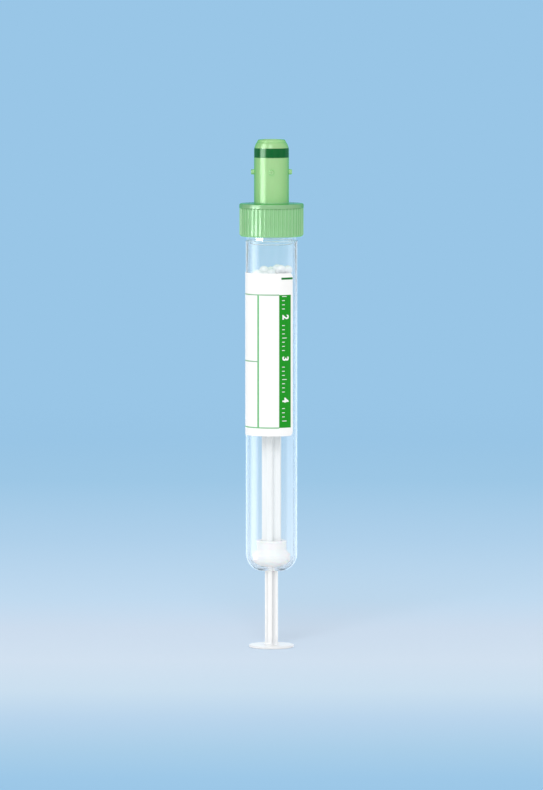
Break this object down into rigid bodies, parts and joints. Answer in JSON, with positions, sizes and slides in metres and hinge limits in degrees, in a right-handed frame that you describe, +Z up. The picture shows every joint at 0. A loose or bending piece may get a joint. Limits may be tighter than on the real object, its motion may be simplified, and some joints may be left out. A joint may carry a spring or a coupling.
{
  "type": "blood collection tube",
  "caption": "Clear round-bottomed blood collection tube standing on its plunger's plate: ribbed green screw cap, pinned neck, piston on a cross-shaped rod, white beads, wrapped paper label.",
  "frame": {"origin": "on the floor, under the middle of the thumb plate", "axes": "+Z up along the tube, from the thumb plate to the cap's nose; -Y is the front, which the label's printed side faces"},
  "size_m": [0.0164, 0.0164, 0.1292],
  "materials": {
    "tube_clear": "clear polished moulding",
    "cap_green": "translucent green moulding, fine satin",
    "septum_rubber": "smooth dark green rubber",
    "bush_white": "white moulding, satin",
    "piston_white": "white moulding, satin",
    "rod_white": "slightly translucent white moulding",
    "label_paper": "matt white paper with green print",
    "bead_white": "translucent white pellets"
  },
  "bodies": {
    "plunger": {"piston": "piston_white", "plunger_rod": "rod_white", "bead_01": "bead_white", "bead_02": "bead_white", "bead_03": "bead_white", "bead_04": "bead_white", "bead_05": "bead_white", "bead_06": "bead_white", "bead_07": "bead_white", "bead_08": "bead_white", "bead_09": "bead_white", "bead_10": "bead_white", "bead_11": "bead_white", "bead_12": "bead_white", "bead_13": "bead_white", "bead_14": "bead_white", "bead_15": "bead_white", "bead_16": "bead_white", "bead_17": "bead_white", "bead_18": "bead_white", "bead_19": "bead_white", "bead_20": "bead_white", "bead_21": "bead_white", "bead_22": "bead_white", "bead_23": "bead_white", "bead_24": "bead_white", "bead_25": "bead_white", "bead_26": "bead_white", "bead_27": "bead_white", "bead_28": "bead_white", "bead_29": "bead_white", "bead_30": "bead_white", "bead_31": "bead_white", "bead_32": "bead_white", "bead_33": "bead_white", "bead_34": "bead_white", "bead_35": "bead_white", "bead_36": "bead_white", "bead_37": "bead_white"},
    "tube": {"tube": "tube_clear", "label": "label_paper", "base_bush": "bush_white"},
    "septum": {"septum": "septum_rubber"},
    "cap": {"screw_cap": "cap_green"}
  },
  "joints": [
    {"name": "plunger_slide", "type": "slide", "parent": "plunger", "child": "tube", "axis": [0, 0, 1], "range_m": [-0.005, 0.0546]},
    {"name": "cap_lift", "type": "slide", "parent": "tube", "child": "septum", "axis": [0, 0, 1], "range_m": [0, 0.0045]},
    {"name": "cap_turn", "type": "hinge", "parent": "septum", "child": "cap", "pos_m": [0, 0, 0.1095], "axis": [0, 0, 1], "range_deg": [0, 540]}
  ],
  "couplings": [
    {"joint": "cap_turn", "follows": "cap_lift", "rad_per_m": 2094.3}
  ]
}
